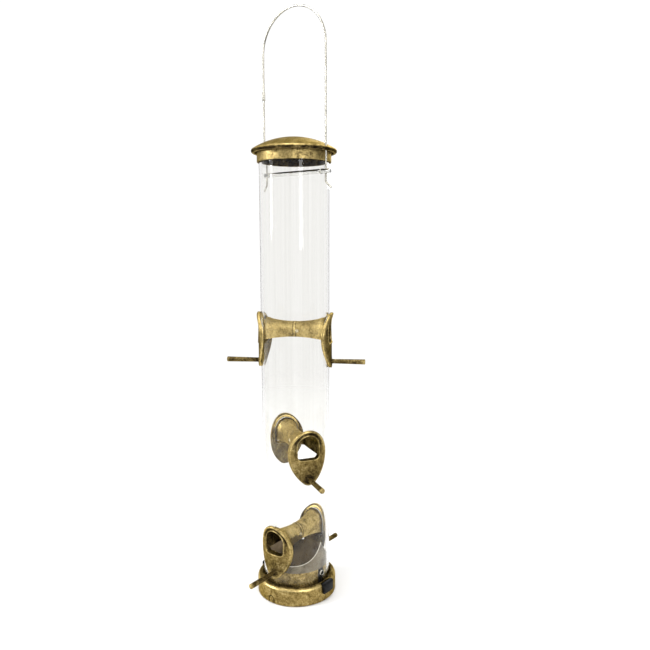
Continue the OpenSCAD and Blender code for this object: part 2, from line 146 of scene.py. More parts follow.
def tidy_mesh(obj, sharp=35):
    """Joins doubled vertices, turns the normals outward and shades all but sharp edges smooth."""
    bm = bmesh.new()
    bm.from_mesh(obj.data)
    bmesh.ops.remove_doubles(bm, verts=bm.verts, dist=1e-6)
    bmesh.ops.recalc_face_normals(bm, faces=bm.faces)
    bm.to_mesh(obj.data)
    bm.free()
    obj.data.shade_smooth()
    obj.data.set_sharp_from_angle(angle=math.radians(sharp))


def apply_modifiers(obj):
    """Makes what the modifiers show the object's own mesh."""
    deps = bpy.context.evaluated_depsgraph_get()
    mesh = bpy.data.meshes.new_from_object(obj.evaluated_get(deps))
    obj.modifiers.clear()
    obj.data = mesh


def cut(obj, cutter):
    """Takes the cutter's solid out of obj."""
    mod = obj.modifiers.new("cut", "BOOLEAN")
    mod.object = cutter
    mod.operation = "DIFFERENCE"
    mod.solver = "EXACT"
    apply_modifiers(obj)
    bpy.data.objects.remove(cutter)


def bevel(obj, width, segments=2, angle=35):
    """Rounds every edge sharper than the angle."""
    mod = obj.modifiers.new("bevel", "BEVEL")
    mod.width = width
    mod.segments = segments
    mod.limit_method = "ANGLE"
    mod.angle_limit = math.radians(angle)
    mod.use_clamp_overlap = True
    apply_modifiers(obj)


def join(name, objs):
    """One object of all the given ones; it keeps the first one's material."""
    bm = bmesh.new()
    for o in objs:
        o.data.transform(o.matrix_world)
        bm.from_mesh(o.data)
    mesh = bpy.data.meshes.new(name)
    bm.to_mesh(mesh)
    bm.free()
    out = bpy.data.objects.new(name, mesh)
    bpy.context.scene.collection.objects.link(out)
    mesh.materials.append(objs[0].data.materials[0])
    for o in objs:
        bpy.data.objects.remove(o)
    return out


def loft(rings, closed_loop=False, capped=False):
    """Vertices and quads through closed rings of points that all have the same count."""
    verts = [p for ring in rings for p in ring]
    count = len(rings[0])
    faces = []
    pairs = len(rings) if closed_loop else len(rings) - 1
    for i in range(pairs):
        a, b = i * count, ((i + 1) % len(rings)) * count
        for j in range(count):
            k = (j + 1) % count
            faces.append((a + j, a + k, b + k, b + j))
    if capped:
        last = (len(rings) - 1) * count
        faces.append(tuple(range(count - 1, -1, -1)))
        faces.append(tuple(last + j for j in range(count)))
    return verts, faces


def upright_ring(radius, z, steps):
    """Points of a level circle round the vertical axis."""
    return [Vector((radius * math.cos(TAU * j / steps), radius * math.sin(TAU * j / steps), z))
            for j in range(steps)]


def lying_ring(radius, x, z, steps):
    """Points of a circle round a line along x at the height z."""
    return [Vector((x, radius * math.cos(TAU * j / steps), z + radius * math.sin(TAU * j / steps)))
            for j in range(steps)]


def lathe(name, profile, material, steps, sharp=35):
    """Turns a closed outline of (radius, height) points about the vertical axis."""
    rings = []
    for i in range(steps):
        a = TAU * i / steps
        rings.append([Vector((r * math.cos(a), r * math.sin(a), z)) for r, z in profile])
    return new_object(name, *loft(rings, closed_loop=True), material, sharp)


def fillet(points, r, steps):
    """A closed outline with each corner rounded."""
    out = []
    n = len(points)
    for i, p in enumerate(points):
        p = Vector(p)
        before = (Vector(points[i - 1]) - p).normalized()
        after = (Vector(points[(i + 1) % n]) - p).normalized()
        half = before.angle(after) / 2
        reach = r / math.tan(half)
        centre = p + (before + after).normalized() * (r / math.sin(half))
        a, b = p + before * reach - centre, p + after * reach - centre
        start, turn = math.atan2(a.y, a.x), b.angle_signed(a)
        for k in range(steps + 1):
            way = start + turn * k / steps
            out.append((centre.x + r * math.cos(way), centre.y + r * math.sin(way)))
    return out


def tube_along(path, radius, sides):
    """Vertices and faces of a round wire along a path of points in one vertical plane."""
    rings = []
    side = Vector((0, 1, 0))
    for i, p in enumerate(path):
        ahead = path[min(i + 1, len(path) - 1)] - path[max(i - 1, 0)]
        up = side.cross(ahead.normalized())
        rings.append([p + radius * (math.cos(TAU * j / sides) * side + math.sin(TAU * j / sides) * up)
                      for j in range(sides)])
    return loft(rings, capped=True)


def smoothstep(a, b, x):
    """Rises smoothly from 0 at a to 1 at b, or falls where b is below a."""
    t = min(1.0, max(0.0, (x - a) / (b - a)))
    return t * t * (3 - 2 * t)


def hump(distance, width):
    """1 at no distance, dying away smoothly over the width."""
    return math.exp(-(distance / width) ** 2)


def port_place(angle, top_z):
    """Moves a port's own frame to its place on the tube."""
    return Matrix.Translation((0, 0, top_z)) @ Matrix.Rotation(math.radians(angle), 4, "Z")


def smooth_copy(node, name, material, width=0.0, segments=2):
    """A copy of a CAD node with joined faces, smooth curves and, if asked, rounded edges."""
    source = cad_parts[node]
    obj = bpy.data.objects.new(name, source.data.copy())
    bpy.context.scene.collection.objects.link(obj)
    obj.matrix_world = Matrix.Identity(4)
    obj.data.materials.clear()
    obj.data.materials.append(material)
    bm = bmesh.new()
    bm.from_mesh(obj.data)
    bmesh.ops.remove_doubles(bm, verts=bm.verts, dist=2e-6)
    bm.to_mesh(obj.data)
    bm.free()
    if width:
        bevel(obj, width, segments)
    tidy_mesh(obj)
    return obj


# ---------------------------------------------------------------- materials
class Nodes:
    """A material's node tree, built from short calls."""

    def __init__(self, name):
        self.material = bpy.data.materials.new(name)
        self.material.use_nodes = True
        self.tree = self.material.node_tree
        self.shader = self.tree.nodes["Principled BSDF"]
        self.output = self.tree.nodes["Material Output"]
        self.coords = self.add("ShaderNodeTexCoord").outputs["Object"]

    def add(self, kind, **values):
        node = self.tree.nodes.new(kind)
        for key, value in values.items():
            setattr(node, key, value)
        return node

    def link(self, a, b):
        self.tree.links.new(a, b)

    def set(self, **values):
        for key, value in values.items():
            self.shader.inputs[key.replace("_", " ")].default_value = value

    def scaled(self, x, y, z):
        """The object's coordinates, stretched."""
        mapping = self.add("ShaderNodeMapping")
        mapping.inputs["Scale"].default_value = (x, y, z)
        self.link(self.coords, mapping.inputs["Vector"])
        return mapping.outputs["Vector"]

    def noise(self, scale, detail=3.0, roughness=0.55, distortion=0.0, vector=None):
        node = self.add("ShaderNodeTexNoise")
        node.inputs["Scale"].default_value = scale
        node.inputs["Detail"].default_value = detail
        node.inputs["Roughness"].default_value = roughness
        node.inputs["Distortion"].default_value = distortion
        self.link(vector or self.coords, node.inputs["Vector"])
        return node.outputs["Fac"]

    def ramp(self, value, stops):
        node = self.add("ShaderNodeValToRGB")
        elements = node.color_ramp.elements
        while len(elements) < len(stops):
            elements.new(0.5)
        for element, (place, colour) in zip(elements, stops):
            element.position = place
            element.color = (*colour, 1)
        self.link(value, node.inputs["Fac"])
        return node.outputs["Color"]

    def math(self, kind, a, b):
        node = self.add("ShaderNodeMath", operation=kind)
        for socket, value in zip(node.inputs, (a, b)):
            if isinstance(value, (int, float)):
                socket.default_value = value
            else:
                self.link(value, socket)
        return node.outputs[0]

    def mix(self, factor, a, b):
        node = self.add("ShaderNodeMix", data_type="RGBA")
        for socket, value in ((node.inputs["Factor"], factor), (node.inputs[6], a), (node.inputs[7], b)):
            if isinstance(value, (int, float)):
                socket.default_value = value
            elif isinstance(value, tuple):
                socket.default_value = (*value, 1)
            else:
                self.link(value, socket)
        return node.outputs[2]

    def remap(self, value, low, high, to_low, to_high):
        """Takes the range low to high over to to_low to to_high."""
        node = self.add("ShaderNodeMapRange")
        self.link(value, node.inputs["Value"])
        for key, number in zip(("From Min", "From Max", "To Min", "To Max"),
                               (low, high, to_low, to_high)):
            node.inputs[key].default_value = number
        return node.outputs["Result"]

    def bump(self, height, distance, strength=1.0, before=None):
        node = self.add("ShaderNodeBump")
        node.inputs["Distance"].default_value = distance
        node.inputs["Strength"].default_value = strength
        self.link(height, node.inputs["Height"])
        if before is not None:
            self.link(before, node.inputs["Normal"])
        return node.outputs["Normal"]

    def attribute(self, name):
        return self.add("ShaderNodeAttribute", attribute_name=name).outputs["Fac"]


def antique_brass(name):
    """Cast brass with a mottled brown patina, darkened where vertices are marked with patina and painted
    shade, and brightened where they are marked with wear and painted highlights.
    """
    n = Nodes(name)
    mottle = n.noise(110, 5, 0.65, 0.8)
    speckle = n.noise(560, 4, 0.65)
    grain = n.noise(1500, 2, 0.5)
    tone = n.math("ADD", n.math("MULTIPLY", mottle, 0.55), n.math("MULTIPLY", speckle, 0.45))
    patina = n.ramp(tone, [(0.34, (0.070, 0.045, 0.014)), (0.45, (0.200, 0.140, 0.045)),
                           (0.54, (0.330, 0.240, 0.085)), (0.66, (0.560, 0.440, 0.200))])
    patina_and_shade = n.attribute("patina_and_shade")
    wear_and_highlight = n.attribute("wear_and_highlight")
    # Painted shade and patina take the marked vertices towards near black; painted highlights and wear take
    # them towards bright brass.
    ragged = n.math("MULTIPLY", patina_and_shade, n.remap(tone, 0.40, 0.62, 1.15, 0.55))
    dark = n.mix(ragged, patina, (0.018, 0.012, 0.006))
    wear_and_sheen = n.math("MULTIPLY", wear_and_highlight, n.remap(tone, 0.38, 0.58, 0.15, 1.0))
    n.link(n.mix(wear_and_sheen, dark, (0.80, 0.62, 0.26)), n.shader.inputs["Base Color"])
    n.set(Metallic=1.0, Specular_Tint=(0.78, 0.68, 0.44, 1))
    rough = n.remap(tone, 0.35, 0.65, 0.44, 0.25)
    n.link(n.math("ADD", rough, n.math("MULTIPLY", patina_and_shade, 0.22)), n.shader.inputs["Roughness"])
    coarse = n.bump(mottle, 1.1 * MM, 0.55)
    fine = n.bump(speckle, 0.30 * MM, 0.8, coarse)
    n.link(n.bump(grain, 0.06 * MM, 0.7, fine), n.shader.inputs["Normal"])
    return n.material


def clear_plastic(name):
    """Clear extruded tube: a faint warm grey, with long draw lines, that lets lamps through."""
    n = Nodes(name)
    streaks = n.noise(1.0, 3, 0.6, 0.0, n.scaled(260, 260, 2.2))
    n.link(n.ramp(streaks, [(0.35, (0.900, 0.896, 0.878)), (0.65, (0.955, 0.952, 0.940))]),
           n.shader.inputs["Base Color"])
    n.set(IOR=1.26, Transmission_Weight=1.0, Roughness=0.0)
    n.link(n.bump(streaks, 0.01 * MM, 0.2), n.shader.inputs["Normal"])
    lamp_ray = n.add("ShaderNodeLightPath").outputs["Is Shadow Ray"]
    through = n.add("ShaderNodeBsdfTransparent")
    through.inputs["Color"].default_value = (0.95, 0.95, 0.94, 1)
    mix = n.add("ShaderNodeMixShader")
    n.link(lamp_ray, mix.inputs["Fac"])
    n.link(n.shader.outputs["BSDF"], mix.inputs[1])
    n.link(through.outputs["BSDF"], mix.inputs[2])
    n.link(mix.outputs["Shader"], n.output.inputs["Surface"])
    return n.material


def sawn_plastic(name):
    """Cut edge of the clear tube: bright, with fine tool marks across it."""
    n = Nodes(name)
    marks = n.noise(1800, 2, 0.5)
    n.link(n.ramp(marks, [(0.35, (0.52, 0.50, 0.44)), (0.65, (0.80, 0.78, 0.72))]),
           n.shader.inputs["Base Color"])
    n.set(IOR=1.49)
    n.link(n.remap(marks, 0.3, 0.7, 0.35, 0.60), n.shader.inputs["Roughness"])
    n.link(n.bump(marks, 0.03 * MM, 0.6), n.shader.inputs["Normal"])
    return n.material


def smoky_plastic(name):
    """Smoky moulding: dark grey-brown, with painted light on its upright wall and a painted highlight along
    its lip.
    """
    n = Nodes(name)
    cloud = n.noise(60, 3, 0.55, 0.4)
    deep = n.ramp(cloud, [(0.35, (0.030, 0.021, 0.010)), (0.65, (0.095, 0.070, 0.040))])
    wall_light = n.ramp(cloud, [(0.35, (0.170, 0.148, 0.105)), (0.65, (0.360, 0.322, 0.245))])
    # Painted light on the upright wall, then a painted highlight on the lip's bead.
    body = n.mix(n.attribute("wall_light"), deep, wall_light)
    n.link(n.mix(n.attribute("lip"), body, (0.66, 0.62, 0.54)), n.shader.inputs["Base Color"])
    n.set(IOR=1.49, Alpha=0.95, Specular_IOR_Level=0.12)
    n.link(n.remap(cloud, 0.3, 0.7, 0.14, 0.26), n.shader.inputs["Roughness"])
    n.link(n.bump(cloud, 0.1 * MM, 0.3), n.shader.inputs["Normal"])
    return n.material


def steel(name, colour, rough, along, brushed=0.6):
    """Drawn or polished steel with fine lines along one axis."""
    n = Nodes(name)
    stretch = [2600, 2600, 2600]
    stretch[along] = 60
    lines = n.noise(1.0, 3, 0.6, 0.0, n.scaled(*stretch))
    stain = n.noise(110, 3, 0.5)
    low = tuple(c * 0.72 for c in colour)
    n.link(n.mix(n.remap(stain, 0.35, 0.7, 0.0, 1.0), low, colour), n.shader.inputs["Base Color"])
    n.set(Metallic=1.0)
    n.link(n.remap(lines, 0.3, 0.7, rough * 0.7, rough * 1.3), n.shader.inputs["Roughness"])
    n.link(n.bump(lines, 0.02 * MM, brushed), n.shader.inputs["Normal"])
    return n.material


def black_plastic(name):
    """Black moulding with a fine spark-eroded grain."""
    n = Nodes(name)
    grain = n.noise(2400, 2, 0.5)
    scuff = n.noise(300, 3, 0.6)
    n.link(n.ramp(scuff, [(0.4, (0.004, 0.004, 0.004)), (0.75, (0.012, 0.012, 0.012))]),
           n.shader.inputs["Base Color"])
    n.set(Specular_IOR_Level=0.08)
    n.link(n.remap(scuff, 0.3, 0.7, 0.30, 0.46), n.shader.inputs["Roughness"])
    n.link(n.bump(grain, 0.04 * MM, 0.6), n.shader.inputs["Normal"])
    return n.material


BRASS = antique_brass("antique_brass")
CLEAR = clear_plastic("clear_tube")
SAWN = sawn_plastic("sawn_edge")
SMOKY = smoky_plastic("smoky_plastic")
WIRE = steel("stainless_wire", (0.50, 0.48, 0.42), 0.30, 2)
ROD = steel("polished_rod", (0.82, 0.82, 0.80), 0.10, 0, 0.25)
RIVET = steel("rivet_steel", (0.60, 0.52, 0.34), 0.32, 2)
SPRING = steel("spring_steel", (0.55, 0.55, 0.55), 0.30, 0)
BLACK = black_plastic("black_plastic")


# ---------------------------------------------------------------- marks and places
def paint(obj, name, value_at):
    """Stores a number, held to 0 to 1, on every vertex for the materials to read."""
    layer = obj.data.attributes.new(name, "FLOAT", "POINT")
    for i, vertex in enumerate(obj.data.vertices):
        layer.data[i].value = min(1.0, max(0.0, value_at(vertex.co, vertex.normal)))


def place(obj, body, slot, *nodes):
    """Rides its body and stands in for CAD nodes, hiding them, in one call."""
    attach(obj, body)
    if nodes:
        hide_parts(*nodes)
    return obj


# ---------------------------------------------------------------- outlines of a port
def arc(cx, cy, r, start, end, steps):
    """Points from one angle to another round a centre."""
    return [(cx + r * math.cos(start + (end - start) * i / steps),
             cy + r * math.sin(start + (end - start) * i / steps)) for i in range(steps + 1)]


def egg_outline():
    """Flange outline in (y, z), drawn from tangent arcs."""
    def end(d, r):
        side_r = (d * d / (HALF_W - r) + r + HALF_W) / 2
        join_angle = math.asin(d / (side_r - r))
        return (arc(HALF_W - side_r, 0, side_r, 0, join_angle, 30)
                + arc(0, d, r, join_angle, math.pi / 2, 30)[1:])
    top = end(-TOP_ARC_R - WIDEST_Z, TOP_ARC_R)
    low = [(y, -z) for y, z in end(FLANGE_H + WIDEST_Z - BOTTOM_ARC_R, BOTTOM_ARC_R)]
    right = low[::-1] + top[1:]
    points = right + [(-y, z) for y, z in right[-2:0:-1]]
    return [(y, z + WIDEST_Z) for y, z in points]


def opening_outline(grow=0.0):
    """Opening outline in (y, z): round above, square with round corners below."""
    w = OPENING_R + grow
    corner = OPENING_CORNER_R + grow
    sill = ARCH_Z + OPENING_R - OPENING_H - grow
    right = (arc(w - corner, sill + corner, corner, -math.pi / 2, 0, 16)
             + arc(0, ARCH_Z, w, 0, math.pi / 2, 40))
    return [(0, sill)] + right + [(-y, z) for y, z in right[-2::-1]]


def polar(points, centre, angles):
    """Distance from the centre to an outline along each angle."""
    dense = []
    for (y0, z0), (y1, z1) in zip(points, points[1:] + points[:1]):
        for k in range(8):
            t = k / 8
            y, z = y0 + (y1 - y0) * t, z0 + (z1 - z0) * t - centre
            dense.append((math.atan2(z, y) % TAU, math.hypot(y, z)))
    dense.sort()
    dense = [(dense[-1][0] - TAU, dense[-1][1])] + dense + [(dense[0][0] + TAU, dense[0][1])]
    out, i = [], 0
    for a in sorted(angles):
        while dense[i + 1][0] < a:
            i += 1
        (a0, r0), (a1, r1) = dense[i], dense[i + 1]
        out.append(r0 + (r1 - r0) * (a - a0) / max(a1 - a0, 1e-9))
    return out


PORT_CENTRE = ARCH_Z - 1.0 * MM
RAYS = 144
angles = [TAU * i / RAYS for i in range(RAYS)]
egg_reach = polar(egg_outline(), PORT_CENTRE, angles)
opening_reach = polar(opening_outline(), PORT_CENTRE, angles)
sleeve_reach = polar(opening_outline(HOOD_WALL), PORT_CENTRE, angles)


def flare_at(z):
    """How far the flange's upper edge flares away from the tube."""
    t = min(1.0, max(0.0, (z - FLARE_Z) / -FLARE_Z))
    return FLARE * t ** 1.2


def on_radius(radius, y, z):
    """The point at (y, z) on a cylinder about the feeder's axis."""
    return Vector((math.sqrt(max(radius * radius - y * y, 0)), y, z))


def flange_mesh():
    """Rings from the flange's edge over its face, in through the opening and back behind.

    For each ray a ring says how far from the port's centre it goes, and a face function says how
    far from the feeder's axis that point stands, how dark it is with patina and painted shade and
    how bright with wear and painted highlights.
    """
    # In mm: in from the flange's edge, out from the opening's edge, and out from the feeder's axis
    rim_steps = [0.0, 0.25, 0.7, 1.2, 1.7, 2.2, 2.7]
    lip_steps = [1.9, 1.5, 1.1, 0.75, 0.4, 0.12, 0.0]
    throat_steps = [36.2, 35.0, 33.5, 32.0]
    spread_rings, back_rings = 14, 24
    edge_w = 0.3 * MM
    rings, marks = [], []

    def ring(face_at, reach_of):
        """Adds a ring that follows the tube's curve, or a flat one at the sleeve's inner end."""
        points = []
        for i, a in enumerate(angles):
            reach = reach_of(i)
            y, z = reach * math.cos(a), PORT_CENTRE + reach * math.sin(a)
            radius, patina_and_shade, wear_and_highlight = face_at(i, y, z, reach)
            points.append(on_radius(radius, y, z) if radius > SLEEVE_IN_X * 1.02
                          else Vector((radius, y, z)))
            marks.append((patina_and_shade, wear_and_highlight))
        rings.append(points)

    def plain(radius, patina_and_shade, wear_and_highlight, flared=False):
        """The same depth and marks all round."""
        return lambda i, y, z, reach: (radius + flare_at(z) * flared, patina_and_shade, wear_and_highlight)

    def beyond(outline, extra=0.0):
        """As far as an outline, and a little more or less."""
        return lambda i: outline[i] + extra

    def part_way(a, a_extra, b, b_extra, share):
        """A share of the way from one outline to another."""
        return lambda i: (a[i] + a_extra) * (1 - share) + (b[i] + b_extra) * share

    def upper(z):
        return smoothstep(-34 * MM, -10 * MM, z)

    def front(i, y, z, reach):
        """Raised rim, hollow inside it, a bead round the opening and a boss round the perch."""
        d, e = egg_reach[i] - reach, reach - opening_reach[i]
        t = d / max(egg_reach[i] - opening_reach[i], 1e-6)
        top = upper(z)
        rim_share = 0.35 + 0.65 * top
        rim = math.sin(math.pi * min(1.0, max(0.0, d / RIM_W))) * RIM_PROUD * rim_share
        lip = hump(e - 0.55 * MM, 0.55 * MM) * LIP_PROUD
        inward = smoothstep(0.2, 0.95, t)
        dish = math.sin(math.pi * smoothstep(0.12, 1.0, t)) * DISH * top
        boss = math.hypot(y, z - PERCH_Z)
        radius = PLATE_R + flare_at(z) * (1 - inward) - 0.5 * MM * top * inward + rim + lip - dish
        radius += 0.5 * MM * hump(boss, 4.2 * MM)
        # Painted shade with patina in the recess round the opening, over the dish and round the perch's
        # boss, and darker towards the bottom.
        patina_and_shade = 0.95 * top * hump(e - 2.1 * MM, 1.5 * MM)
        patina_and_shade += 0.25 * top * smoothstep(0.2, 0.5, t)
        patina_and_shade += 0.95 * hump(boss - 3.0 * MM, 1.6 * MM) * (1.0 if z > PERCH_Z else 0.5)
        patina_and_shade += 0.35 * smoothstep(5.5 * MM, 2.4 * MM, boss)
        patina_and_shade += 0.12 + 0.45 * smoothstep(-24 * MM, -44 * MM, z)
        # Painted highlights with wear along the rim's crest and along the bead round the opening.
        wear_and_highlight = 0.9 * hump(d - 1.1 * MM, 0.8 * MM) * rim_share
        wear_and_highlight += 0.75 * hump(e - 0.5 * MM, 0.45 * MM)
        return radius, patina_and_shade, wear_and_highlight

    def back(i, y, z, reach):
        """Round the hood painted shade in the crack, a painted highlight on a band and a painted dark line;
        painted light on the upper part, a painted dark outline at the edge, and darker brown below.
        """
        t = (egg_reach[i] - reach) / max(egg_reach[i] - sleeve_reach[i], 1e-6)
        d = reach - sleeve_reach[i]
        arch_part = smoothstep(-31 * MM, -27 * MM, z)
        crack = hump(d, 0.9 * MM)
        line = arch_part * hump(d - 3.4 * MM, 0.6 * MM)
        band = arch_part * smoothstep(0.8 * MM, 1.4 * MM, d) * smoothstep(3.2 * MM, 2.6 * MM, d)
        edge = hump(egg_reach[i] - reach, 0.7 * MM)
        radius = SEAT_R + flare_at(z) * (1 - smoothstep(0.2, 0.95, t))
        bright = max(band, 0.35 * upper(z) * (1 - crack) * (1 - edge))
        brown = (0.15 + 0.25 * (1 - arch_part)) * (1 - band)
        return radius, max(brown, 1.5 * crack, 1.3 * line, 0.8 * edge), bright * (1 - line)

    # Painted highlight with wear on the flange's outer edge.
    ring(plain(SEAT_R + 0.35 * MM, 0.0, 0.2, flared=True), beyond(egg_reach, -0.05 * MM))
    ring(plain(SEAT_R + 1.2 * MM, 0.0, 0.7, flared=True), beyond(egg_reach))
    for d in rim_steps:
        ring(front, beyond(egg_reach, -(d + 0.05) * MM))
    for k in range(1, spread_rings):
        ring(front, part_way(egg_reach, -2.75 * MM, opening_reach, 1.9 * MM, k / spread_rings))
    for e in lip_steps:
        ring(front, beyond(opening_reach, e * MM))
    # Painted shade in the throat and round the sleeve behind the opening.
    for x in throat_steps:
        ring(plain(x * MM, 0.8, 0.0), beyond(opening_reach))
    ring(plain(SLEEVE_IN_X, 0.6, 0.2), beyond(opening_reach))
    ring(plain(SLEEVE_IN_X, 0.9, 0.0), beyond(sleeve_reach))
    ring(plain(SEAT_R - 0.9 * MM, 1.0, 0.0), beyond(sleeve_reach))
    ring(plain(SEAT_R, 1.0, 0.0), beyond(sleeve_reach))
    for k in range(1, back_rings):
        ring(back, part_way(sleeve_reach, 0.0, egg_reach, -edge_w, (k / back_rings) ** 1.3))
    ring(back, beyond(egg_reach, -edge_w))
    return *loft(rings, closed_loop=True), marks


def hood_radius(x):
    """The hood is narrowest at its seam and widens in an arc towards the flange."""
    return WAIST_R + HOOD_SIDE_R - math.sqrt(HOOD_SIDE_R ** 2 - x * x)


def hood_side(r, low, legs, turns):
    """One wall of the hood in (y, z): a round arch on two straight legs."""
    points = [(r, low * (1 - j / legs)) for j in range(legs)]
    points += arc(0, 0, r, 0, math.pi, turns)
    return points + [(-y, z) for y, z in points[legs - 1::-1]]


def hood_mesh():
    """Arched hood from the seam at the middle of the tube to the sleeve, open below."""
    turns, legs, steps = 40, 8, 30
    first_x, last_x = 0.12 * MM, HOOD_LEN - 0.18 * MM
    rings, marks = [], []
    for k in range(steps + 1):
        x = first_x + (last_x - first_x) * k / steps
        low = HOOD_EDGE_Z - (HOOD_EDGE_R - math.sqrt(HOOD_EDGE_R ** 2 - x * x))
        seam = 0.28 * MM * hump(x, 0.9 * MM)
        swell = 0.55 * MM * hump(x - 27.5 * MM, 2.2 * MM)
        outer_r = hood_radius(x) + seam + swell
        inner_r = hood_radius(x) - HOOD_WALL
        outside = hood_side(outer_r, low + 0.25 * MM, legs, turns)
        inside = hood_side(inner_r, low + 0.25 * MM, legs, turns)[::-1]
        mid_r = (outer_r + inner_r) / 2
        loop = outside + [(-mid_r, low)] + inside + [(mid_r, low)]
        rings.append([Vector((x, y, ARCH_Z + z)) for y, z in loop])
        # Painted shade in a line beside the seam, towards the flange and on the inner wall; a painted
        # highlight along the seam and a painted brightening, with wear, over the outside, most on its lower
        # corners.
        dark_line = hump(x - 1.3 * MM, 0.5 * MM)
        near_end = smoothstep(28.8 * MM, 30.5 * MM, x)
        bright_seam = hump(x, 0.7 * MM)
        corners = (0, len(outside) - 1, len(outside), len(loop) - 1)
        for j in range(len(loop)):
            if len(outside) < j < len(loop) - 1:
                marks.append((0.95, 0.0))
            else:
                wear_and_sheen = 0.8 if j in corners else 0.42
                marks.append((1.3 * dark_line + 0.95 * near_end,
                              wear_and_sheen * (1 - near_end) * (1 - dark_line) + bright_seam))
    verts, faces = loft(rings)
    count = len(rings[0])
    for start in (0, (len(rings) - 1) * count):
        for j in range(count // 2 - 1):
            faces.append((start + j, start + j + 1, start + count - 3 - j, start + count - 2 - j))
    return verts, faces, marks


def tongue_mesh():
    """Thin inner sleeve that crosses the seam into the other half."""
    outer_r, inner_r = WAIST_R - HOOD_WALL - 0.1 * MM, WAIST_R - HOOD_WALL - 1.3 * MM
    low = HOOD_EDGE_Z + 0.2 * MM
    turns = 30
    rings = []
    for x, tight in ((-6.0 * MM, 0.25 * MM), (-5.7 * MM, 0.0), (3.0 * MM, 0.0)):
        r = outer_r - tight
        outside = [(r, low)] + arc(0, 0, r, 0, math.pi, turns) + [(-r, low)]
        inside = [(y * inner_r / r, z if z < 0 else z * inner_r / r) for y, z in outside][::-1]
        rings.append([Vector((x, y, ARCH_Z + z)) for y, z in outside + inside])
    verts, faces = loft(rings)
    count = len(rings[0])
    for start in (0, 2 * count):
        for j in range(count // 2 - 1):
            faces.append((start + j, start + j + 1, start + count - 2 - j, start + count - 1 - j))
    # The tongue is painted dark as shade inside the hood, with patina.
    return verts, faces, [(0.8, 0.0)] * len(verts)


def build_half(ending, angle, has_tongue):
    """One cast half of a port: flange, hood and, on one half of each pair, the tongue."""
    node = "port_" + ending
    meshes = [("flange", flange_mesh()), ("hood", hood_mesh())]
    if has_tongue:
        meshes.append(("tongue", tongue_mesh()))
    pieces = [new_object(name, verts, faces, BRASS, 50, marks) for name, (verts, faces, marks) in meshes]
    half = join("cast_" + ending, pieces)
    half.data.transform(port_place(angle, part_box(node)[1][2]))
    half.data.shade_smooth()
    half.data.set_sharp_from_angle(angle=math.radians(50))
    place(half, "seed_tube", "antique_brass", node)


def build_perch(ending, angle):
    """Straight rod, a little thicker at its tip, with a small fillet where it meets the flange."""
    root, tip = 2.25 * MM, 2.65 * MM
    start, end = PLATE_R - 0.6 * MM, PERCH_REACH
    neck, tip_edge, sides, steps = 2.2 * MM, 0.4 * MM, 40, 12
    profile = [(start, 3.3 * MM), (start + 0.7 * MM, 2.85 * MM), (start + 1.4 * MM, 2.5 * MM),
               (start + neck, 2.3 * MM)]
    for k in range(1, steps + 1):
        x = start + neck + (end - tip_edge - start - neck) * k / steps
        profile.append((x, root + (tip - root) * (x - start) / (end - start)))
    profile += [(end - 0.12 * MM, tip - 0.12 * MM), (end, tip - tip_edge)]
    verts, faces = loft([lying_ring(r, x, PERCH_Z, sides) for x, r in profile], capped=True)
    marks = []
    for x, _ in profile:
        # Painted shade with patina over the perch, deepest at its root; wear with a painted highlight at
        # its tip.
        patina_and_shade = 0.72 + 0.75 * smoothstep(start + 5 * MM, start + 0.5 * MM, x)
        wear_and_highlight = 0.6 * smoothstep(end - 1.2 * MM, end - 0.1 * MM, x)
        marks += [(patina_and_shade, wear_and_highlight)] * sides
    perch = new_object("rod_" + ending, verts, faces, BRASS, 40, marks)
    perch.data.transform(port_place(angle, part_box("port_" + ending)[1][2]))
    place(perch, "seed_tube", "antique_brass", "perch_" + ending)


for ending, angle, has_tongue in HALVES:
    build_half(ending, angle, has_tongue)
    build_perch(ending, angle)


def build_rivets():
    """Low domed heads on both sides of each hood, next to its seam."""
    profile = [(0, -2.6), (1.2, -2.6), (1.2, 0), (1.85, 0.02), (1.8, 0.28), (1.45, 0.6),
               (0.9, 0.78), (0, 0.85)]
    verts, faces = loft([upright_ring(r * MM, h * MM, 24) for r, h in profile])
    rivets = []
    for ending, angle, has_tongue in HALVES:
        if has_tongue:
            continue
        port = port_place(angle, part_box("port_" + ending)[1][2])
        for side in (-1, 1):
            rivet = new_object("rivet", verts, faces, RIVET, 50)
            turn = Matrix.Rotation(math.radians(-90 * side), 4, "X")
            spot = Matrix.Translation((RIVET_X, side * (hood_radius(RIVET_X) + 0.05 * MM), RIVET_Z))
            rivet.data.transform(port @ spot @ turn)
            rivets.append(rivet)
    place(join("hood_rivets", rivets), "seed_tube", "rivet_steel", "hood_pins")


build_rivets()


# ---------------------------------------------------------------- tube
def prism(outline, from_x, to_x, angle, top_z):
    """Cutter in the shape of an outline in a port's own (y, z)."""
    rings = [[Vector((x, y, z)) for y, z in outline] for x in (from_x, to_x)]
    cutter = new_object("cutter", *loft(rings, capped=True), CLEAR)
    cutter.data.transform(port_place(angle, top_z))
    return cutter


def bar(radius, from_x, to_x, z, sides=48):
    """Round cutter along x."""
    rings = [lying_ring(radius, x, z, sides) for x in (from_x, to_x)]
    return new_object("cutter", *loft(rings, capped=True), CLEAR)


def round_normals(obj, radii):
    """Gives the walls of a tube the exact normals of a round surface, so that it doesn't distort."""
    mesh = obj.data
    normals = [Vector(n.vector) for n in mesh.corner_normals]
    for face in mesh.polygons:
        points = [mesh.vertices[v].co for v in face.vertices]
        reach = [math.hypot(p.x, p.y) for p in points]
        for radius in radii:
            if max(abs(r - radius) for r in reach) < 0.02 * MM:
                outward = 1 if face.normal.x * face.center.x + face.normal.y * face.center.y > 0 else -1
                for loop, point in zip(face.loop_indices, points):
                    normals[loop] = Vector((point.x, point.y, 0)).normalized() * outward
    mesh.normals_split_custom_set([tuple(n) for n in normals])


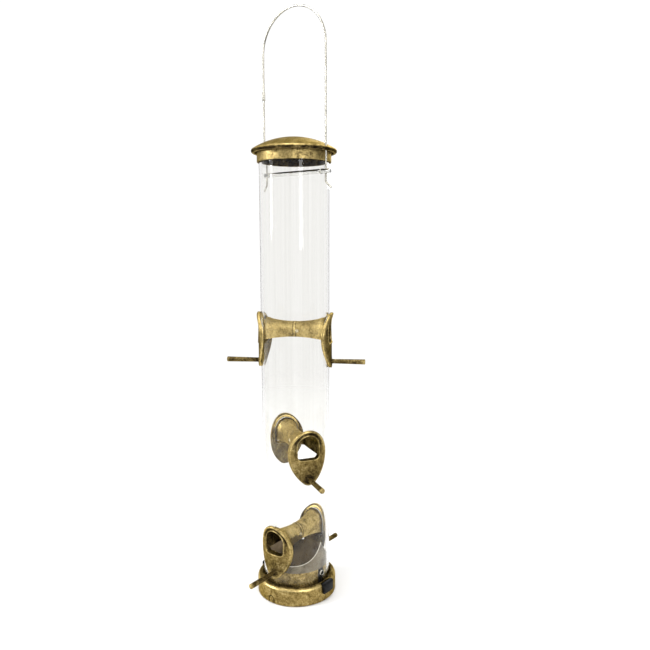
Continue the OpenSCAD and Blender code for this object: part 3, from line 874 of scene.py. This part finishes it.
def build_tube():
    """Clear tube with a hole for each port, for the cross rod and for the locking pins."""
    outline = [(BORE_R, TUBE_Z0), (TUBE_R, TUBE_Z0), (TUBE_R, TUBE_Z1), (BORE_R, TUBE_Z1)]
    tube = lathe("clear_tube", fillet(outline, TUBE_EDGE_R, 2), CLEAR, 216)
    hole = opening_outline(HOOD_WALL + HOLE_CLEARANCE)
    near_x, far_x = 0.02, 0.05
    for ending, angle, has_tongue in HALVES:
        cut(tube, prism(hole, near_x, far_x, angle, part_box("port_" + ending)[1][2]))
    rod_r = (rod_high[2] - rod_low[2]) / 2 + 0.2 * MM
    lock_r, lock_z = (lock_high[2] - lock_low[2]) / 2 + 0.3 * MM, (lock_high[2] + lock_low[2]) / 2
    for radius, z in ((rod_r, ROD_Z), (lock_r, lock_z)):
        cut(tube, bar(radius, near_x, far_x, z))
        cut(tube, bar(radius, -far_x, -near_x, z))
    tidy_mesh(tube, 30)
    tube.data.materials.append(SAWN)
    for face in tube.data.polygons:
        reach = math.hypot(face.center.x, face.center.y)
        inside_wall = BORE_R + 0.2 * MM < reach < TUBE_R - 0.2 * MM
        if inside_wall and TUBE_Z0 + 1 * MM < face.center.z < TUBE_Z1 - 1 * MM:
            face.material_index = 1
    round_normals(tube, (BORE_R, TUBE_R))
    place(tube, "seed_tube", "clear_tube", "tube")


build_tube()


# ---------------------------------------------------------------- lid, rod and bail
def drum(radius, z0, z1, material, steps=180):
    """Upright solid cylinder."""
    rings = [upright_ring(radius, z, steps) for z in (z0, z1)]
    return new_object("drum", *loft(rings, capped=True), material)


def build_lid():
    """Domed lid with a rolled rim, a hollow underside and a collar, drilled for the bail."""
    brim_r, top, hem = lid_high[0], lid_high[2], lid_low[2]
    seat = TUBE_Z1
    collar_r, collar_in = TUBE_R + 1.9 * MM, TUBE_R + 0.4 * MM
    neck_z, corner, sheet = seat + 1.4 * MM, 0.3 * MM, 2.2 * MM
    rim_z, rim_r = seat + 1.9 * MM, 2.2 * MM
    rim_x = brim_r - rim_r
    run = top - rim_z - rim_r
    dome_r = (rim_x ** 2 + run ** 2) / (2 * run) + rim_r
    dome_z = top - dome_r
    inner_r = dome_r - sheet
    join_angle, inner_angle = math.asin(rim_x / (dome_r - rim_r)), math.asin(BORE_R / inner_r)
    pole_r = 0.02 * MM
    drill_r, drill_reach = 1.9 * MM, 0.03

    def dome(radius, angle):
        return (radius * math.sin(angle), dome_z + radius * math.cos(angle))
    outline = [(pole_r, top)] + [dome(dome_r, join_angle * k / 40) for k in range(1, 41)]
    outline += arc(rim_x, rim_z, rim_r, math.pi / 2 - join_angle, -math.pi * 0.78, 26)[1:]
    outline += [(rim_x - rim_r, rim_z - 0.2 * MM), (collar_r + 0.5 * MM, rim_z), (collar_r, neck_z)]
    outline += [(collar_r, neck_z - (neck_z - hem - corner) * k / 6) for k in range(1, 7)]
    outline += [(collar_r - corner, hem), (collar_in + corner, hem), (collar_in, hem + corner),
                (collar_in, seat), (BORE_R, seat)]
    outline += [dome(inner_r, inner_angle * (1 - k / 24)) for k in range(24)]
    outline.append((pole_r, dome_z + inner_r))
    lid = lathe("domed_lid", outline, BRASS, 216, 40)
    for side in (-1, 1):
        drill = drum(drill_r, rim_z - drill_reach, rim_z + drill_reach, BRASS, 40)
        drill.data.transform(Matrix.Translation((side * LEG_X, 0, 0)))
        cut(lid, drill)
    tidy_mesh(lid, 40)

    def patina_and_shade(co, normal):
        """Painted shade under the rim, inside the lid and in the crease above the collar."""
        rad = math.hypot(co.x, co.y)
        past_collar = smoothstep(collar_r - 0.2 * MM, collar_r + 0.4 * MM, rad)
        under = smoothstep(0.32, 0.05, normal.z) * past_collar
        below_sheet = rad < collar_in + 0.1 * MM and co.z < dome_z + inner_r + 0.5 * MM
        crease = hump(co.z - seat - 1.5 * MM, 0.9 * MM) * (rad < collar_r + 1 * MM)
        return max(1.9 * under, 1.0 * (below_sheet and normal.z < 0.2), 1.9 * crease)

    def wear_and_highlight(co, normal):
        """Painted highlights and wear: bright on the rim's shoulder where it faces up, on the collar and on
        its hem.
        """
        rad = math.hypot(co.x, co.y)
        shoulder = hump(rad - brim_r + 0.9 * MM, 1.5 * MM) * smoothstep(0.25, 0.65, normal.z)
        lower_edge = hump(co.z - hem - 0.6 * MM, 0.6 * MM) * (rad > collar_r - 0.5 * MM)
        collar = (rad > collar_r - 0.2 * MM) * (co.z < seat)
        return max(0.75 * shoulder, 0.6 * lower_edge, 0.5 * collar)
    paint(lid, "patina_and_shade", patina_and_shade)
    paint(lid, "wear_and_highlight", wear_and_highlight)
    place(lid, "cap", "antique_brass", "lid")


build_lid()


def build_bail():
    """Stainless wire: kicked-out ends, straight legs and a round arch."""
    arch_z = bail_high[2] - WIRE_R - LEG_X
    tail_z = ROD_Z - TAIL_LEN
    bend_r = 1.6 * MM
    bend_z = tail_z + bend_r * math.tan(KICK / 2)
    tail = Vector((LEG_X, 0, tail_z))
    end = tail + KICK_LEN * Vector((math.sin(KICK), 0, -math.cos(KICK)))
    side = [end.lerp(tail, k / 4) for k in range(4)]
    centre = Vector((LEG_X + bend_r, 0, bend_z))
    for k in range(7):
        a = math.pi + KICK * (1 - k / 6)
        side.append(centre + bend_r * Vector((math.cos(a), 0, math.sin(a))))
    side += [Vector((LEG_X, 0, bend_z + (arch_z - bend_z) * k / 12)) for k in range(1, 13)]
    arch = [Vector((x, 0, z)) for x, z in arc(0, arch_z, LEG_X, 0, math.pi, 60)[1:-1]]
    path = side + arch + [Vector((-p.x, 0, p.z)) for p in side[::-1]]
    wire = new_object("bail_wire", *tube_along(path, WIRE_R, 20), WIRE, 50)
    place(wire, "seed_tube", "stainless_wire", "bail")


build_bail()

for node, name, material, slot_name, width in (
        ("cross_rod", "rod_through_tube", ROD, "polished_rod", 0.0),
        ("bail_splice", "wire_sleeve", WIRE, "stainless_wire", 0.25 * MM)):
    place(smooth_copy(node, name, material, width), "seed_tube", slot_name, node)


# ---------------------------------------------------------------- base
def build_base():
    """Cast base from its CAD shape, with softened edges."""
    base = smooth_copy("base_casting", "cast_base", BRASS, 0.25 * MM)
    rim_top, groove_r, collar_r, collar_in = 19 * MM, 36.9 * MM, 31.7 * MM, 29.6 * MM
    mark_w, mark_top, mark_r, mark_y = 4.5 * MM, 9 * MM, 41.3 * MM, -38 * MM

    def patina_and_shade(co, normal):
        """Painted shade in the groove round the collar, inside the collar and in the arch on the rim, and
        on the rim's ledge where it faces up.
        """
        rad = math.hypot(co.x, co.y)
        groove = smoothstep(groove_r, groove_r - 0.7 * MM, rad) * (rad > collar_r)
        groove *= smoothstep(rim_top + 2 * MM, rim_top - 1 * MM, co.z)
        ledge = (rad > groove_r - 0.5 * MM) * (co.z > rim_top - 3 * MM)
        flat = 0.75 * smoothstep(0.72, 0.95, normal.z) * ledge
        mark = 1.6 * (rad < mark_r) * (abs(co.x) < mark_w) * (co.y < mark_y) * (co.z < mark_top)
        return max(1.2 * groove, 0.6 * (rad < collar_in), flat, mark)

    def wear_and_highlight(co, normal):
        """Painted highlight where the rim's lip turns over, strongest where it faces partly up."""
        on_rim = (math.hypot(co.x, co.y) > 38 * MM) * (co.z > rim_top - 4 * MM)
        return hump(normal.z - 0.55, 0.16) * on_rim
    paint(base, "patina_and_shade", patina_and_shade)
    paint(base, "wear_and_highlight", wear_and_highlight)
    place(base, "base", "antique_brass", "base_casting")


build_base()


def box_solid(half_w, half_d, z0, z1):
    """Upright block about the vertical axis."""
    corners = ((-half_w, -half_d), (half_w, -half_d), (half_w, half_d), (-half_w, half_d))
    rings = [[Vector((x, y, z)) for x, y in corners] for z in (z0, z1)]
    return new_object("box", *loft(rings, capped=True), SMOKY)


def part_edges(obj, angle):
    """Separates the faces on both sides of every edge sharper than the angle."""
    mesh = bmesh.new()
    mesh.from_mesh(obj.data)
    limit = math.radians(angle)
    bmesh.ops.split_edges(mesh, edges=[e for e in mesh.edges if e.calc_face_angle(0) > limit])
    mesh.to_mesh(obj.data)
    mesh.free()


def edge_bead(reach, radius, height_at):
    """Thin round bead once round the deflector's wall, at the height that each y asks for; it carries a
    painted highlight.
    """
    steps, sides = 240, 24
    path = [Vector((p.x, p.y, height_at(p.y))) for p in upright_ring(reach, 0, steps)]
    rings = []
    for i, p in enumerate(path):
        outward = Vector((p.x, p.y, 0)).normalized()
        up = outward.cross(path[(i + 1) % steps] - path[i - 1]).normalized()
        rings.append([p + radius * (math.cos(TAU * j / sides) * outward + math.sin(TAU * j / sides) * up)
                      for j in range(sides)])
    return new_object("bead", *loft(rings, closed_loop=True), SMOKY, 60)


def build_deflector():
    """Thin moulded dome-like insert with a scoop towards each lower port and a notched ridge."""
    wall = 1.6 * MM
    outer_r, ridge_z = deflector_high[0], deflector_high[2]
    rim_z = base_high[2] + 0.1 * MM
    scoop_r, scoop_y = 32 * MM, 30 * MM
    scoop_z = ridge_z + math.sqrt(scoop_r ** 2 - scoop_y ** 2)
    saddle_w, saddle_z = 11 * MM, ridge_z - 6 * MM
    boss_y, boss_r = 20 * MM, 3.5 * MM
    bead_r = 0.35 * MM
    past = 0.06  # how far cutters reach, well past the deflector

    def scoop_at(y):
        """Height of the scoops' surface."""
        return scoop_z - math.sqrt(scoop_r ** 2 - (abs(y) - scoop_y) ** 2)

    def shape(radius, z0, grow):
        """Drum less the two scoops and the notch, each grown to leave a wall."""
        solid = drum(radius, z0, ridge_z - grow, SMOKY)
        for side in (-1, 1):
            scoop = bar(scoop_r + grow, -past, past, 0, 180)
            scoop.data.transform(Matrix.Translation((0, side * scoop_y, scoop_z)))
            cut(solid, scoop)
        cut(solid, box_solid(saddle_w + grow, past, saddle_z - grow, ridge_z + past))
        return solid
    shell = shape(outer_r, rim_z, 0.0)
    cut(shell, shape(outer_r - wall, rim_z - past, wall))
    bevel(shell, 0.3 * MM, 2, 30)
    tidy_mesh(shell, 30)
    posts = []
    for side in (-1, 1):
        post = drum(boss_r, deflector_low[2], scoop_at(boss_y) - wall, SMOKY, 48)
        post.data.transform(Matrix.Translation((0, side * boss_y, 0)))
        posts.append(post)
    bead = edge_bead(outer_r - bead_r, bead_r, scoop_at)
    # The bead is painted pale as a highlight along the scoops' edge.
    for piece in [shell, bead] + posts:
        light = 1.0 if piece is bead else 0.0
        paint(piece, "lip", lambda co, normal, light=light: light)
    deflector = join("smoky_deflector", [shell, bead] + posts)
    part_edges(deflector, 18)
    deflector.data.shade_smooth()

    def wall_light(co, normal):
        """Painted light on the upright wall, stronger towards +x, with the scoops left dark."""
        outward = (normal.x * co.x + normal.y * co.y) / max(math.hypot(co.x, co.y), MM)
        return smoothstep(0.80, 0.97, outward) * (0.25 + 0.30 * smoothstep(0.0, 22 * MM, co.x))
    paint(deflector, "wall_light", wall_light)
    place(deflector, "base", "smoky_plastic", "seed_deflector")


build_deflector()
place(smooth_copy("deflector_screws", "screws", RIVET, 0.2 * MM), "base", "rivet_steel", "deflector_screws")


def shorten_with_button(coil):
    """Gives the spring its own copy of its mesh."""
    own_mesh(coil)


for side in ("right", "left"):
    body = side + "_latch"
    place(smooth_copy("latch_button_" + side, "push_button_" + side, BLACK, 0.45 * MM, 3), body,
          "black_plastic", "latch_button_" + side)
    place(smooth_copy("lock_pin_" + side, "catch_" + side, BLACK, 0.4 * MM, 3), body,
          "black_plastic", "lock_pin_" + side)
    coil = place(smooth_copy("latch_spring_" + side, "coil_" + side, SPRING), "base",
                 "spring_steel", "latch_spring_" + side)
    shorten_with_button(coil)


# ---------------------------------------------------------------- floor, light and camera
def build_stage():
    """Pale round floor that fades into the white surroundings away from the feeder."""
    edge, steps, rings = 1.6, 96, 12
    verts, faces = loft([upright_ring(edge * k / rings, 0, steps) for k in range(1, rings + 1)])
    faces.append(tuple(range(steps)))
    n = Nodes("pale_floor")
    n.link(n.ramp(n.noise(4, 2), [(0.3, (0.775, 0.775, 0.77)), (0.7, (0.795, 0.795, 0.79))]),
           n.shader.inputs["Base Color"])
    n.set(Roughness=0.9)
    gradient = n.add("ShaderNodeTexGradient", gradient_type="SPHERICAL")
    n.link(n.scaled(1 / edge, 1 / edge, 1 / edge), gradient.inputs["Vector"])
    fade = n.remap(gradient.outputs["Fac"], 0.25, 0.72, 0.0, 1.0)
    clear = n.add("ShaderNodeBsdfTransparent")
    mix = n.add("ShaderNodeMixShader")
    n.link(fade, mix.inputs["Fac"])
    n.link(clear.outputs["BSDF"], mix.inputs[1])
    n.link(n.shader.outputs["BSDF"], mix.inputs[2])
    n.link(mix.outputs["Shader"], n.output.inputs["Surface"])
    floor = new_object("floor", verts, faces, n.material)
    floor.location.z = -0.4 * MM


def area_light(name, spot, aim, size, power):
    """Soft box of the given width and height that only shows in what it lights."""
    data = bpy.data.lights.new(name, "AREA")
    data.shape = "RECTANGLE"
    data.size, data.size_y = size
    data.energy = power
    lamp = bpy.data.objects.new(name, data)
    bpy.context.scene.collection.objects.link(lamp)
    lamp.location = spot
    lamp.visible_camera = False
    lamp.visible_transmission = False
    lamp.rotation_euler = (Vector(aim) - Vector(spot)).to_track_quat("-Z", "Y").to_euler()


def build_light():
    """White behind everything, greyer from above to below for what it lights, and five soft boxes."""
    world = bpy.data.worlds.new("studio")
    bpy.context.scene.world = world
    world.use_nodes = True
    tree = world.node_tree
    background = tree.nodes["Background"]
    coords = tree.nodes.new("ShaderNodeTexCoord")
    split = tree.nodes.new("ShaderNodeSeparateXYZ")
    ramp = tree.nodes.new("ShaderNodeValToRGB")
    stops = ramp.color_ramp.elements
    stops[0].position, stops[0].color = 0.0, (0.30, 0.30, 0.30, 1)
    stops[1].position, stops[1].color = 0.9, (0.90, 0.90, 0.90, 1)
    path = tree.nodes.new("ShaderNodeLightPath")
    mix = tree.nodes.new("ShaderNodeMix")
    mix.data_type = "RGBA"
    link = tree.links.new

    def step(operation, a, b):
        node = tree.nodes.new("ShaderNodeMath")
        node.operation = operation
        for socket, value in zip(node.inputs, (a, b)):
            if isinstance(value, float):
                socket.default_value = value
            else:
                link(value, socket)
        return node.outputs[0]
    direct = step("MAXIMUM", path.outputs["Is Camera Ray"], path.outputs["Is Transmission Ray"])
    unscattered = step("LESS_THAN", path.outputs["Diffuse Depth"], 0.5)
    link(step("MULTIPLY", direct, unscattered), mix.inputs["Factor"])
    link(coords.outputs["Generated"], split.inputs[0])
    link(split.outputs["Z"], ramp.inputs["Fac"])
    link(ramp.outputs["Color"], mix.inputs[6])
    mix.inputs[7].default_value = (1, 1, 1, 1)
    link(mix.outputs[2], background.inputs["Color"])
    background.inputs["Strength"].default_value = 1.05
    centre = (0, 0, 0.3)
    area_light("key", (-0.95, -1.17, 1.0), centre, (0.42, 1.3), 8)
    area_light("strip", (-0.95, -1.15, 0.85), centre, (0.06, 1.0), 13)
    area_light("fill", (1.31, -0.73, 0.9), centre, (0.4, 1.2), 16)
    area_light("back", (-0.3, 1.5, 1.1), centre, (1.2, 1.2), 10)
    area_light("top", (0.1, -0.3, 1.9), centre, (0.8, 0.8), 12)


def build_camera():
    """Stands 0.657 m from the tube's axis, a little to its right, looking slightly down."""
    distance, azimuth, aside, height = 0.657, math.radians(37), 0.0306, 0.3718
    pitch = math.radians(8.25)
    back = Vector((math.sin(azimuth), -math.cos(azimuth), 0))
    right = Vector((math.cos(azimuth), math.sin(azimuth), 0))
    data = bpy.data.cameras.new("camera")
    data.sensor_width = 36
    data.lens = 35.7
    data.shift_y = 0.0154
    data.clip_start = 0.01
    camera = bpy.data.objects.new("camera", data)
    bpy.context.scene.collection.objects.link(camera)
    camera.location = distance * back + aside * right + Vector((0, 0, height))
    camera.rotation_euler = (math.pi / 2 - pitch, 0, azimuth)
    bpy.context.scene.camera = camera


build_stage()
build_light()
build_camera()
bpy.context.scene.view_settings.view_transform = "Standard"
